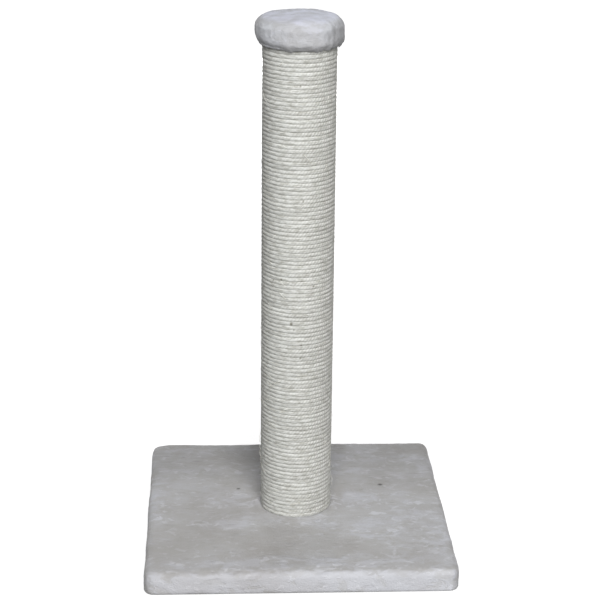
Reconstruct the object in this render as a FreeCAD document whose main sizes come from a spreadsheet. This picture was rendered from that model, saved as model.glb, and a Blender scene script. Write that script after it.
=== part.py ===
import FreeCAD, Part
import math
import os

import Sketcher

# A cat scratching post: a plush-covered square base, an upright cardboard tube wound with sisal
# rope, and a round plush-covered cap. Millimetres, +Z up, -Y towards the front. The origin is at
# the middle of the base, on the floor.

V = FreeCAD.Vector
SAMPLES = 6  # places on each arc of the rope where its gap to itself is measured

SIZES = [
    # The base
    ("base_side", 400, "width and depth of the covered base"),
    ("base_corner_radius", 15, "corner of the covered base, seen from above"),
    ("base_top_rounding", 9, "rounding of the plush along the base's top edge"),
    ("base_bottom_rounding", 3, "rounding of the plush along the base's bottom edge"),
    ("board_thickness", 22, "particle board in the base"),
    ("base_plush", 5, "plush over the board, pile and backing"),
    ("base_hem", 3, "plush folded under the board and pressed flat by its staples"),
    ("base_hem_width", 45, "how far the folded plush reaches in from the base's side"),
    ("crushed_plush", 1.5, "plush left under the clamped post"),
    ("liner_thickness", 1.5, "felt that hides the board's underside"),
    ("pad_diameter", 30, "foot pad"),
    ("pad_thickness", 2, "foot pad"),
    ("pad_rounding", 0.5, "foot pad's lower edge"),
    ("pad_inset", 26, "foot pad's centre, in from the base's sides"),
    # The post
    ("tube_bore", 76, "inside of the cardboard tube"),
    ("tube_wall", 4, "wall of the cardboard tube"),
    ("tube_length", 636.5, "cardboard tube, end to end"),
    ("rope_diameter", 5, "sisal rope, as it lies on the tube"),
    ("rope_turn_gap", 0.45, "from one turn's side to the next"),
    ("rope_loops", 24, "turns wound one by one, above the base"),
    ("rope_butt", 9, "length of the shoulder that the wound rope's end butts on"),
    ("bottom_plug_thickness", 25, "wooden disc in the tube's lower end"),
    ("top_plug_thickness", 18, "wooden disc in the tube's upper end"),
    # The cap
    ("disc_diameter", 100, "wooden disc in the cap"),
    ("disc_thickness", 12, "wooden disc in the cap"),
    ("foam_height", 17, "foam over the cap's disc, at its middle"),
    ("foam_rounding", 7, "rounding of the foam's top edge"),
    ("foam_crown", 1.2, "rise of the foam's top inside its rounding"),
    ("cap_plush", 7, "plush round the cap's side, pile and backing"),
    ("cap_top_plush", 6.2, "plush over the cap's foam"),
    ("cap_hem", 3, "plush gathered under the cap's disc"),
    ("cap_hem_hole", 44, "opening left in the gathered plush"),
    ("cap_lip_drop", 3, "how far the pile hangs below the post's top"),
    ("cap_lip_width", 1, "thickness of the hanging pile's edge"),
    ("cap_belly_low", 11, "height above the post's top where the cap's side turns upright"),
    ("cap_belly_high", 16, "height above the post's top where the side starts to lean in"),
    ("cap_under_radius", 18, "curve of the cap's drawn-in lower side"),
    ("cap_side_radius", 38, "curve of the cap's upper side"),
    ("cap_shoulder_radius", 8, "curve of the cap's shoulder"),
    ("cap_shoulder_drop", 8.5, "shoulder's lower end, below the cap's top"),
    ("cap_shoulder_inset", 3.2, "shoulder's lower end, in from the widest place"),
    ("cap_crown_inset", 10.9, "shoulder's upper end, in from the widest place"),
    ("cap_crown_rise", 1.5, "rise of the cap's top inside its shoulder"),
    # Screws and nuts, M8
    ("screw_diameter", 8, "bolt and stud, over their threads"),
    ("thread_gap", 0.05, "thread to thread, all round"),
    ("screw_point", 1, "bevel at a screw's end"),
    ("bolt_length", 50, "base bolt, under its head"),
    ("bolt_head_diameter", 17, "flat head of the base bolt"),
    ("bolt_head_height", 3, "flat head of the base bolt"),
    ("hex_key", 5, "socket in the base bolt, across its flats"),
    ("hex_depth", 2, "socket in the base bolt"),
    ("washer_diameter", 30, "washer under the base bolt's head"),
    ("washer_thickness", 2, "washer under the base bolt's head"),
    ("bolt_hole", 9, "clearance hole for the base bolt"),
    ("recess_diameter", 34, "recess for washer and head in the board's underside"),
    ("recess_depth", 6, "recess for washer and head in the board's underside"),
    ("stud_length", 40, "stud between the post and the cap"),
    ("tee_flange_diameter", 22, "flange of a pronged nut"),
    ("tee_flange_thickness", 1.5, "flange of a pronged nut"),
    ("tee_barrel_diameter", 10, "barrel of a pronged nut"),
    ("tee_barrel_length", 10, "barrel of a pronged nut"),
    ("tee_prong_radius", 8.5, "from the nut's axis to its prongs"),
    ("tee_prong_width", 2.6, "prong at its root"),
    ("tee_prong_length", 6, "prong from root to point"),
    ("tee_prong_thickness", 1.2, "sheet that the prong is cut from"),
    ("foam_relief_diameter", 26, "hollow in the foam over the nut"),
    ("foam_relief_depth", 6, "hollow in the foam over the nut"),
    # Staples
    ("staple_crown", 10, "staple, over its legs"),
    ("staple_wire", 0.6, "thickness of the staple's wire"),
    ("staple_width", 1, "width of the staple's wire"),
    ("staple_leg", 9, "leg of a base or cap staple"),
    ("plug_staple_leg", 12, "leg of a staple through the tube"),
    ("staple_inset", 22, "row of base staples, in from the base's side"),
    ("staple_row_length", 290, "row of base staples, first to last"),
    ("staples_per_side", 6, "base staples along each side"),
    ("plug_staples", 6, "staples round each plug"),
    ("cap_staples", 8, "staples under the cap"),
    ("cap_staple_radius", 31, "from the cap's axis to its staples"),
    # Clearances
    ("soft_gap", 0.3, "between soft pieces and what they cover"),
    ("plug_gap", 0.2, "between a plug and the tube's bore"),
    ("driven_gap", 0.05, "round what is driven or pressed into wood"),
]

# Heights above the floor
BOARD_BOTTOM = "(sizes.pad_thickness + sizes.base_hem)"
BOARD_TOP = f"({BOARD_BOTTOM} + sizes.board_thickness)"
BASE_TOP = f"({BOARD_TOP} + sizes.base_plush)"
POST_BOTTOM = f"({BOARD_TOP} + sizes.crushed_plush)"
POST_TOP = f"({POST_BOTTOM} + sizes.tube_length)"
ROPE_BOTTOM = f"({BASE_TOP} + sizes.soft_gap)"
ROPE_PITCH = "(sizes.rope_diameter + sizes.rope_turn_gap)"
SLEEVE_BOTTOM = f"({ROPE_BOTTOM} + sizes.rope_loops * {ROPE_PITCH})"
BOTTOM_PLUG_TOP = f"({POST_BOTTOM} + sizes.bottom_plug_thickness)"
TOP_PLUG_BOTTOM = f"({POST_TOP} - sizes.top_plug_thickness)"
DISC_BOTTOM = f"({POST_TOP} + sizes.cap_hem)"
DISC_TOP = f"({DISC_BOTTOM} + sizes.disc_thickness)"
FOAM_TOP = f"({DISC_TOP} + sizes.foam_height)"
CAP_TOP = f"({FOAM_TOP} + sizes.soft_gap + sizes.cap_top_plush)"
RECESS_TOP = f"({BOARD_BOTTOM} + sizes.recess_depth)"
HEAD_TOP = f"({RECESS_TOP} - sizes.washer_thickness)"

# Radii and half widths
BOARD_HALF = "(sizes.base_side / 2 - sizes.base_plush - sizes.soft_gap)"
BOARD_CORNER = "(sizes.base_corner_radius - sizes.base_plush - sizes.soft_gap)"
TUBE_RADIUS = "(sizes.tube_bore / 2 + sizes.tube_wall)"
ROPE_INSIDE = f"({TUBE_RADIUS} + sizes.soft_gap)"
ROPE_OUTSIDE = f"({ROPE_INSIDE} + sizes.rope_diameter)"
PLUG_RADIUS = "(sizes.tube_bore / 2 - sizes.plug_gap)"
NUT_HOLE = "(sizes.tee_barrel_diameter / 2 + sizes.driven_gap)"
DISC_RADIUS = "(sizes.disc_diameter / 2)"
CAP_RADIUS = f"({DISC_RADIUS} + sizes.soft_gap + sizes.cap_plush)"

doc = FreeCAD.newDocument("cat_scratching_post")
sheet = doc.addObject("Spreadsheet::Sheet", "sizes")
sub_parts = []


def fill_sheet():
    """Write each driving size with its name and what it is."""
    for row, (alias, value, meaning) in enumerate(SIZES, 1):
        sheet.set(f"A{row}", alias)
        sheet.set(f"B{row}", str(value))
        sheet.set(f"C{row}", meaning)
        sheet.setAlias(f"B{row}", alias)
    doc.recompute()


def number(formula):
    """Work out a formula of the sheet's sizes."""
    return float(sheet.evalExpression(formula))


# ---------------------------------------------------------------- sketches and features

def new_body(label):
    """Start a sub-part, whose label names its file."""
    body = doc.addObject("PartDesign::Body", label)
    body.Label = label
    body.AllowCompound = True
    sub_parts.append(body)
    return body


def origin_feature(body, role):
    """Find a plane or an axis of the body's own origin."""
    return next(item for item in body.Origin.OriginFeatures if item.Role == role)


def new_sketch(body, name, plane="XY_Plane", offset="0"):
    """Attach a sketch to one of the body's planes, moved along that plane's normal."""
    sketch = body.newObject("Sketcher::SketchObject", name)
    sketch.AttachmentSupport = [(origin_feature(body, plane), "")]
    sketch.MapMode = "FlatFace"
    sketch.setExpression("AttachmentOffset.Base.z", offset)
    return sketch


def bind(sketch, constraint, formula):
    """Add a constraint and tie its value to a formula."""
    index = sketch.addConstraint(constraint)
    sketch.setExpression(f"Constraints[{index}]", formula)


def draw_outline(sketch, corners):
    """Draw a closed outline. A corner is (x, y), or (x, y, turn, radius) where an arc leaves it:
    turn is 1 for an arc that turns left on its way and -1 for one that turns right."""
    points = [V(number(corner[0]), number(corner[1]), 0) for corner in corners]
    pieces = []
    for index, corner in enumerate(corners):
        start = points[index]
        end = points[(index + 1) % len(points)]
        if len(corner) == 2:
            pieces.append((sketch.addGeometry(Part.LineSegment(start, end)), 1, 2))
            continue
        chord = end.sub(start)
        radius = number(corner[3])
        sagitta = radius - math.sqrt(radius ** 2 - (chord.Length / 2) ** 2)
        side = V(chord.y, -chord.x, 0).normalize().multiply(corner[2] * sagitta)
        middle = start.add(end).multiply(0.5).add(side)
        arc = sketch.addGeometry(Part.Arc(start, middle, end))
        pieces.append((arc, 1, 2) if corner[2] > 0 else (arc, 2, 1))
    for index, corner in enumerate(corners):
        piece, start, end = pieces[index]
        following, following_start, _ = pieces[(index + 1) % len(pieces)]
        sketch.addConstraint(Sketcher.Constraint("Coincident", piece, end, following, following_start))
        bind(sketch, Sketcher.Constraint("DistanceX", piece, start, points[index].x), corner[0])
        bind(sketch, Sketcher.Constraint("DistanceY", piece, start, points[index].y), corner[1])
        if len(corner) == 4:
            bind(sketch, Sketcher.Constraint("Radius", piece, number(corner[3])), corner[3])


def draw_circle(sketch, radius):
    """Draw a circle round the sketch's origin."""
    circle = sketch.addGeometry(Part.Circle(V(0, 0, 0), V(0, 0, 1), number(radius)))
    sketch.addConstraint(Sketcher.Constraint("Coincident", circle, 3, -1, 1))
    bind(sketch, Sketcher.Constraint("Radius", circle, number(radius)), radius)


def rounded_square(half, radius):
    """Corners of a square with rounded corners, counter-clockwise."""
    flat = f"({half} - {radius})"
    return [
        (flat, f"-{half}", 1, radius), (half, f"-{flat}"),
        (half, flat, 1, radius), (flat, half),
        (f"-{flat}", half, 1, radius), (f"-{half}", flat),
        (f"-{half}", f"-{flat}", 1, radius), (f"-{flat}", f"-{half}"),
    ]


def add_pad(body, sketch, length, midplane=False):
    """Extrude a sketch."""
    pad = body.newObject("PartDesign::Pad", sketch.Name + "_pad")
    pad.Profile = sketch
    pad.setExpression("Length", length)
    pad.Midplane = midplane
    doc.recompute()
    return pad


def add_pocket(body, sketch, length, midplane=False):
    """Cut a sketch's outline along its normal, or to both sides of it."""
    before = body.Shape.Volume
    pocket = body.newObject("PartDesign::Pocket", sketch.Name + "_pocket")
    pocket.Profile = sketch
    pocket.setExpression("Length", length)
    pocket.Midplane = midplane
    pocket.Reversed = not midplane
    doc.recompute()
    if not body.Shape.Volume < before:
        raise RuntimeError(f"{sketch.Label} cuts nothing from {body.Label}")
    return pocket


def add_turned(body, name, corners):
    """Turn an outline of (radius, height) corners round the upright axis."""
    sketch = new_sketch(body, name, "XZ_Plane")
    draw_outline(sketch, corners)
    turned = body.newObject("PartDesign::Revolution", name + "_turned")
    turned.Profile = sketch
    turned.ReferenceAxis = (sketch, ["V_Axis"])
    turned.Angle = 360
    doc.recompute()
    return turned


def add_ring_pattern(body, feature, count):
    """Repeat a feature evenly round the upright axis."""
    ring = body.newObject("PartDesign::PolarPattern", feature.Name + "_ring")
    ring.Originals = [feature]
    ring.Axis = (origin_feature(body, "Z_Axis"), [""])
    ring.Angle = 360
    ring.setExpression("Occurrences", count)
    body.Tip = ring
    doc.recompute()
    return ring


def add_rounding(body, feature, name, radius, test):
    """Fillet the edges of a feature that pass a test on their bounding box."""
    edges = [f"Edge{index}" for index, edge in enumerate(feature.Shape.Edges, 1)
             if test(edge.BoundBox)]
    rounding = body.newObject("PartDesign::Fillet", name)
    rounding.Base = (feature, edges)
    rounding.setExpression("Radius", radius)
    doc.recompute()
    return rounding


def upright(box):
    """Whether an edge's box is that of an upright line."""
    return box.XLength + box.YLength < 1e-6


def lies_at(height):
    """Make a test for edges that lie level at a height."""
    level = number(height)
    return lambda box: abs(box.ZMin - level) + abs(box.ZMax - level) < 1e-6


# ---------------------------------------------------------------- staples

def staple_corners(leg, gap):
    """Outline of a staple: along its crown, and from the crown's back towards its points."""
    outside = f"(sizes.staple_crown / 2 + {gap})"
    inside = f"(sizes.staple_crown / 2 - sizes.staple_wire - {gap})"
    back = f"(0 - {gap})"
    hollow = f"(sizes.staple_wire + {gap})"
    point = f"({leg} + {gap})"
    return [
        (f"-{outside}", back), (outside, back), (outside, point), (inside, point),
        (inside, hollow), (f"-{inside}", hollow), (f"-{inside}", point), (f"-{outside}", point),
    ]


def under_base(along, deep):
    """Place of a staple's point in the first staple of a row under the base."""
    return f"({along} - sizes.staple_row_length / 2)", f"(sizes.pad_thickness + {deep})"


def under_cap(along, deep):
    """Place of a staple's point in a staple under the cap."""
    return along, f"({POST_TOP} + {deep})"


def in_bottom_plug(along, deep):
    """Place of a staple's point in a staple through the tube into the lower plug."""
    return f"({TUBE_RADIUS} - {deep})", f"({POST_BOTTOM} + sizes.bottom_plug_thickness / 2 + {along})"


def in_top_plug(along, deep):
    """Place of a staple's point in a staple through the tube into the upper plug."""
    return f"({TUBE_RADIUS} - {deep})", f"({POST_TOP} - sizes.top_plug_thickness / 2 + {along})"


def staple_row(place):
    """Distance of a staple's plane in front of the axis, its leg, and the count round the axis."""
    if place is under_base:
        return "sizes.base_side / 2 - sizes.staple_inset", "sizes.staple_leg", "4"
    if place is under_cap:
        return "sizes.cap_staple_radius", "sizes.staple_leg", "sizes.cap_staples"
    return "0", "sizes.plug_staple_leg", "sizes.plug_staples"


def repeat_staple(body, feature, sketch, place):
    """Repeat a staple, or its slot, along the base's sides or round the axis."""
    count = staple_row(place)[2]
    if place is not under_base:
        add_ring_pattern(body, feature, count)
        return
    pattern = body.newObject("PartDesign::MultiTransform", feature.Name + "_sides")
    pattern.Originals = [feature]
    row = body.newObject("PartDesign::LinearPattern", feature.Name + "_row")
    row.Direction = (sketch, ["H_Axis"])
    row.setExpression("Length", "sizes.staple_row_length")
    row.setExpression("Occurrences", "sizes.staples_per_side")
    sides = body.newObject("PartDesign::PolarPattern", feature.Name + "_turn")
    sides.Axis = (origin_feature(body, "Z_Axis"), [""])
    sides.Angle = 360
    sides.setExpression("Occurrences", count)
    pattern.Transformations = [row, sides]
    body.Tip = pattern
    doc.recompute()


def make_staples(label, place):
    """Staples of one kind, as driven."""
    body = new_body(label)
    distance, leg, _ = staple_row(place)
    sketch = new_sketch(body, label + "_wire", "XZ_Plane", distance)
    draw_outline(sketch, [place(along, deep) for along, deep in staple_corners(leg, "0")])
    staple = add_pad(body, sketch, "sizes.staple_width", True)
    repeat_staple(body, staple, sketch, place)


def cut_staples(body, place):
    """Slots of the same staples in a piece that they go through or into."""
    distance, leg, _ = staple_row(place)
    sketch = new_sketch(body, f"{body.Name}_{place.__name__}", "XZ_Plane", distance)
    corners = staple_corners(leg, "sizes.driven_gap")
    draw_outline(sketch, [place(along, deep) for along, deep in corners])
    slot = add_pocket(body, sketch, "sizes.staple_width + 2 * sizes.driven_gap", True)
    repeat_staple(body, slot, sketch, place)


# ---------------------------------------------------------------- screws and nuts

def add_prongs(body, face, down, cut):
    """Prongs of a nut, or the slots that they press into a wooden face."""
    gap = "sizes.driven_gap" if cut else "0"
    sign = "-" if down else "+"
    sketch = new_sketch(body, body.Name + "_prong", "XZ_Plane")
    half = f"(sizes.tee_prong_width / 2 + {gap})"
    draw_outline(sketch, [
        (f"(sizes.tee_prong_radius - {half})", face),
        (f"(sizes.tee_prong_radius + {half})", face),
        ("sizes.tee_prong_radius", f"({face} {sign} (sizes.tee_prong_length + 2 * {gap}))"),
    ])
    width = f"sizes.tee_prong_thickness + 2 * {gap}"
    prong = add_pocket(body, sketch, width, True) if cut else add_pad(body, sketch, width, True)
    add_ring_pattern(body, prong, "4")


def make_tee_nut(label, face, down):
    """Pronged nut with its flange on a wooden face and its barrel in the wood."""
    body = new_body(label)
    barrel, flange = ("-", "+") if down else ("+", "-")
    bore = "(sizes.screw_diameter / 2 + sizes.thread_gap)"
    flange_side = f"({face} {flange} sizes.tee_flange_thickness)"
    barrel_end = f"({face} {barrel} sizes.tee_barrel_length)"
    add_turned(body, label + "_outline", [
        (bore, flange_side), ("(sizes.tee_flange_diameter / 2)", flange_side),
        ("(sizes.tee_flange_diameter / 2)", face), ("(sizes.tee_barrel_diameter / 2)", face),
        ("(sizes.tee_barrel_diameter / 2)", barrel_end), (bore, barrel_end),
    ])
    add_prongs(body, face, down, False)


def make_base_bolt():
    """Flat-headed bolt that draws the post down on the base."""
    body = new_body("base_bolt")
    shank = "(sizes.screw_diameter / 2)"
    head = "(sizes.bolt_head_diameter / 2)"
    underside = f"({HEAD_TOP} - sizes.bolt_head_height)"
    end = f"({HEAD_TOP} + sizes.bolt_length)"
    add_turned(body, "base_bolt_outline", [
        ("0", underside), (head, underside), (head, HEAD_TOP), (shank, HEAD_TOP),
        (shank, f"({end} - sizes.screw_point)"), (f"({shank} - sizes.screw_point)", end), ("0", end),
    ])
    socket = new_sketch(body, "base_bolt_socket", "XY_Plane", underside)
    corner = "(sizes.hex_key / sqrt(3))"
    draw_outline(socket, [
        (corner, "0"), (f"({corner} / 2)", "(sizes.hex_key / 2)"),
        (f"(-{corner} / 2)", "(sizes.hex_key / 2)"), (f"-{corner}", "0"),
        (f"(-{corner} / 2)", "(-sizes.hex_key / 2)"), (f"({corner} / 2)", "(-sizes.hex_key / 2)"),
    ])
    add_pocket(body, socket, "sizes.hex_depth")


def make_cap_stud():
    """Headless stud, half in the post's nut and half in the cap's."""
    body = new_body("cap_stud")
    shank = "(sizes.screw_diameter / 2)"
    narrow = f"({shank} - sizes.screw_point)"
    low = f"({POST_TOP} - sizes.stud_length / 2)"
    high = f"({POST_TOP} + sizes.stud_length / 2)"
    add_turned(body, "cap_stud_outline", [
        ("0", low), (narrow, low), (shank, f"({low} + sizes.screw_point)"),
        (shank, f"({high} - sizes.screw_point)"), (narrow, high), ("0", high),
    ])


def make_washer():
    """Wide washer in the board's recess."""
    body = new_body("base_washer")
    hole = "(sizes.bolt_hole / 2)"
    rim = "(sizes.washer_diameter / 2)"
    add_turned(body, "base_washer_outline", [
        (hole, HEAD_TOP), (rim, HEAD_TOP), (rim, RECESS_TOP), (hole, RECESS_TOP),
    ])


# ---------------------------------------------------------------- base

def make_base_board():
    """Particle board with the bolt's recess and hole in its middle."""
    body = new_body("base_board")
    square = new_sketch(body, "base_board_outline", "XY_Plane", BOARD_BOTTOM)
    draw_outline(square, rounded_square(BOARD_HALF, BOARD_CORNER))
    add_pad(body, square, "sizes.board_thickness")
    middle = new_sketch(body, "base_board_bolt", "XY_Plane", BOARD_BOTTOM)
    draw_circle(middle, "(sizes.bolt_hole / 2)")
    hole = body.newObject("PartDesign::Hole", "base_board_hole")
    hole.Profile = middle
    hole.ThreadType = "None"
    hole.DepthType = "ThroughAll"
    hole.setExpression("Diameter", "sizes.bolt_hole")
    hole.HoleCutType = "Counterbore"
    hole.HoleCutCustomValues = True
    hole.setExpression("HoleCutDiameter", "sizes.recess_diameter")
    hole.setExpression("HoleCutDepth", "sizes.recess_depth")
    hole.Reversed = True
    doc.recompute()
    cut_staples(body, under_base)


def make_base_cover():
    """Plush drawn over the board and folded under it, with the post's seat pressed in its top."""
    body = new_body("base_cover")
    outline = new_sketch(body, "base_cover_outline", "XY_Plane", "sizes.pad_thickness")
    draw_outline(outline, rounded_square("(sizes.base_side / 2)", "sizes.base_corner_radius"))
    block = add_pad(body, outline, f"{BASE_TOP} - sizes.pad_thickness")
    top = add_rounding(body, block, "base_cover_top", "sizes.base_top_rounding", lies_at(BASE_TOP))
    add_rounding(body, top, "base_cover_bottom", "sizes.base_bottom_rounding",
                 lies_at("sizes.pad_thickness"))
    hollow = new_sketch(body, "base_cover_hollow", "XY_Plane", BOARD_BOTTOM)
    half = f"({BOARD_HALF} + sizes.soft_gap)"
    draw_outline(hollow, rounded_square(half, f"({BOARD_CORNER} + sizes.soft_gap)"))
    add_pocket(body, hollow, "sizes.board_thickness")
    opening = new_sketch(body, "base_cover_opening", "XY_Plane", "sizes.pad_thickness")
    draw_outline(opening, rounded_square("(sizes.base_side / 2 - sizes.base_hem_width)", BOARD_CORNER))
    add_pocket(body, opening, "sizes.base_hem")
    hole = new_sketch(body, "base_cover_bolt", "XY_Plane", BOARD_TOP)
    draw_circle(hole, "(sizes.bolt_hole / 2)")
    add_pocket(body, hole, "sizes.base_plush")
    seat = new_sketch(body, "base_cover_seat", "XY_Plane", POST_BOTTOM)
    draw_circle(seat, ROPE_INSIDE)
    add_pocket(body, seat, "sizes.base_plush - sizes.crushed_plush")
    cut_staples(body, under_base)


def make_base_liner():
    """Felt inside the folded plush, glued to the board, with a hole to reach the bolt."""
    body = new_body("base_liner")
    bottom = f"({BOARD_BOTTOM} - sizes.liner_thickness)"
    outline = new_sketch(body, "base_liner_outline", "XY_Plane", bottom)
    half = "(sizes.base_side / 2 - sizes.base_hem_width - sizes.soft_gap)"
    draw_outline(outline, rounded_square(half, f"({BOARD_CORNER} - sizes.soft_gap)"))
    draw_circle(outline, "(sizes.recess_diameter / 2)")
    add_pad(body, outline, "sizes.liner_thickness")


def make_foot_pad(label, right, back):
    """Foot pad near a corner of the base: right and back are 1 or -1."""
    body = new_body(label)
    radius = "(sizes.pad_diameter / 2)"
    low_radius = f"({radius} - sizes.pad_rounding)"
    add_turned(body, label + "_outline", [
        ("0", "0"), (low_radius, "0", 1, "sizes.pad_rounding"), (radius, "sizes.pad_rounding"),
        (radius, "sizes.pad_thickness"), ("0", "sizes.pad_thickness"),
    ])
    out = "(sizes.base_side / 2 - sizes.pad_inset)"
    body.setExpression("Placement.Base.x", f"{right} * {out}")
    body.setExpression("Placement.Base.y", f"{back} * {out}")


# ---------------------------------------------------------------- post

def make_plug(label, bottom, thickness, face, down, staples):
    """Wooden disc in an end of the tube, with the hole and slots of its nut and staples."""
    body = new_body(label)
    outline = new_sketch(body, label + "_outline", "XY_Plane", bottom)
    draw_circle(outline, PLUG_RADIUS)
    draw_circle(outline, NUT_HOLE)
    add_pad(body, outline, thickness)
    add_prongs(body, face, down, True)
    cut_staples(body, staples)


def make_post_tube():
    """Spiral-wound cardboard tube that stands on the pressed plush."""
    body = new_body("post_tube")
    outline = new_sketch(body, "post_tube_outline", "XY_Plane", POST_BOTTOM)
    draw_circle(outline, TUBE_RADIUS)
    draw_circle(outline, "(sizes.tube_bore / 2)")
    add_pad(body, outline, "sizes.tube_length")
    cut_staples(body, in_bottom_plug)
    cut_staples(body, in_top_plug)


def biarc(start, start_way, end, end_way):
    """Two tangent arcs from one point and direction to another."""
    across = end.sub(start)
    ways = start_way.add(end_way)
    along = across.dot(ways)
    spread = 2 * (1 - start_way.dot(end_way))
    reach = (math.sqrt(along ** 2 + spread * across.dot(across)) - along) / spread
    before = start.add(V(start_way).multiply(reach))
    after = end.sub(V(end_way).multiply(reach))
    joint = before.add(after).multiply(0.5)
    joint_way = after.sub(before).normalize()
    return [arc_from(start, start_way, joint), arc_from(joint, joint_way, end)]


def arc_from(start, way, end):
    """Arc that leaves a point in a direction and reaches another point."""
    chord = end.sub(start)
    inward = way.cross(chord).cross(way).normalize()
    radius = chord.dot(chord) / (2 * chord.dot(inward))
    centre = start.add(V(inward).multiply(radius))
    out = start.add(end).multiply(0.5).sub(centre).normalize().multiply(radius)
    return Part.Arc(start, centre.add(out), end).toShape()


def winding_stations(radius, pitch, loops):
    """Points and directions of the rope's middle, a quarter turn apart. Each turn runs level
    round the front and climbs to the next round the back. The last one stops before its climb."""
    stations = []
    for quarter in range(4 * loops - 1):
        turn, phase = divmod(quarter, 4)
        angle = quarter * math.pi / 2
        climbing = phase == 3
        rise = pitch * (turn + (0.5 if climbing else 0))
        steepness = 1.5 * pitch / (math.pi * radius) if climbing else 0
        point = V(radius * math.cos(angle), -radius * math.sin(angle), rise)
        way = V(-math.sin(angle), -math.cos(angle), steepness).normalize()
        stations.append((point, way))
    return stations


def least_gap(edges, diameter, turn_length):
    """Least distance from the tube's side to itself, between places half a turn to one and a
    half turns apart along it."""
    points = []
    travelled = 0
    for edge in edges:
        for step in edge.discretize(SAMPLES + 1)[:-1]:
            points.append((travelled, step))
            travelled += edge.Length / SAMPLES
    nearest = min(a.distanceToPoint(b) for index, (at, a) in enumerate(points)
                  for further, b in points[index + 1:] if 0.5 < (further - at) / turn_length < 1.5)
    return nearest - diameter


def make_lower_turns():
    """Sisal rope from the base up, one unbroken round tube with straight ends."""
    radius = number(f"{ROPE_INSIDE} + sizes.rope_diameter / 2")
    diameter = number("sizes.rope_diameter")
    pitch = number(ROPE_PITCH)
    stations = winding_stations(radius, pitch, round(number("sizes.rope_loops")))
    edges = []
    for (start, start_way), (end, end_way) in zip(stations, stations[1:]):
        edges += biarc(start, start_way, end, end_way)
    first, first_way = stations[0]
    last, last_way = stations[-1]
    foot = first.sub(V(first_way).multiply(diameter))
    tip = last.add(V(last_way).multiply(diameter))
    print("least gap of the rope to itself:", round(least_gap(edges, diameter, 2 * math.pi * radius), 3))
    path = Part.Wire([Part.LineSegment(foot, first).toShape()] + edges
                     + [Part.LineSegment(last, tip).toShape()])
    shell = Part.BRepOffsetAPI.MakePipeShell(path)
    shell.add(Part.Wire([Part.makeCircle(diameter / 2, foot, first_way)]))
    shell.build()
    shell.makeSolid()
    rope = doc.addObject("Part::Feature", "sisal_rope_lower_turns")
    rope.Label = "sisal_rope_lower_turns"
    rope.Shape = shell.shape()
    rope.Placement.Base = V(0, 0, number(f"{ROPE_BOTTOM} + sizes.rope_diameter / 2"))
    expected = math.pi * (diameter / 2) ** 2 * path.Length
    print("rope volume over section times length:", round(rope.Shape.Volume / expected, 5))
    sub_parts.append(rope)


def make_upper_turns():
    """Sleeve in the place of the turns above, with a shoulder that the lower turns butt on."""
    body = new_body("sisal_rope_upper_turns")
    outline = new_sketch(body, "upper_turns_outline", "XY_Plane", SLEEVE_BOTTOM)
    draw_circle(outline, ROPE_OUTSIDE)
    draw_circle(outline, ROPE_INSIDE)
    add_pad(body, outline, f"{POST_TOP} - {SLEEVE_BOTTOM}")
    bottom = f"({SLEEVE_BOTTOM} - {ROPE_PITCH} + sizes.soft_gap)"
    shoulder = new_sketch(body, "upper_turns_shoulder", "XY_Plane", bottom)
    near = "sizes.rope_diameter"
    far = "(sizes.rope_diameter + sizes.rope_butt)"
    draw_outline(shoulder, [
        (f"-sqrt({ROPE_OUTSIDE}^2 - {near}^2)", near),
        (f"-sqrt({ROPE_INSIDE}^2 - {near}^2)", near, -1, ROPE_INSIDE),
        (f"-sqrt({ROPE_INSIDE}^2 - {far}^2)", far),
        (f"-sqrt({ROPE_OUTSIDE}^2 - {far}^2)", far, 1, ROPE_OUTSIDE),
    ])
    add_pad(body, shoulder, f"{ROPE_PITCH} - sizes.soft_gap")


# ---------------------------------------------------------------- cap

def make_cap_disc():
    """Wooden disc that carries the cap's nut, foam and plush."""
    body = new_body("cap_disc")
    outline = new_sketch(body, "cap_disc_outline", "XY_Plane", DISC_BOTTOM)
    draw_circle(outline, DISC_RADIUS)
    draw_circle(outline, NUT_HOLE)
    add_pad(body, outline, "sizes.disc_thickness")
    add_prongs(body, DISC_TOP, True, True)
    cut_staples(body, under_cap)


def crown_radius(half_width, rise):
    """Radius of a shallow crown."""
    return f"(({half_width}^2 + {rise}^2) / (2 * {rise}))"


def make_cap_foam():
    """Crowned foam on the disc, hollow over the nut."""
    body = new_body("cap_foam")
    edge = f"({DISC_RADIUS} - sizes.foam_rounding)"
    relief = "(sizes.foam_relief_diameter / 2)"
    ceiling = f"({DISC_TOP} + sizes.foam_relief_depth)"
    add_turned(body, "cap_foam_outline", [
        (relief, DISC_TOP), (DISC_RADIUS, DISC_TOP),
        (DISC_RADIUS, f"({FOAM_TOP} - sizes.foam_crown - sizes.foam_rounding)",
         1, "(sizes.foam_rounding * 1.001)"),
        (edge, f"({FOAM_TOP} - sizes.foam_crown)", 1, crown_radius(edge, "sizes.foam_crown")),
        ("0", FOAM_TOP), ("0", ceiling), (relief, ceiling),
    ])


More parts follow.
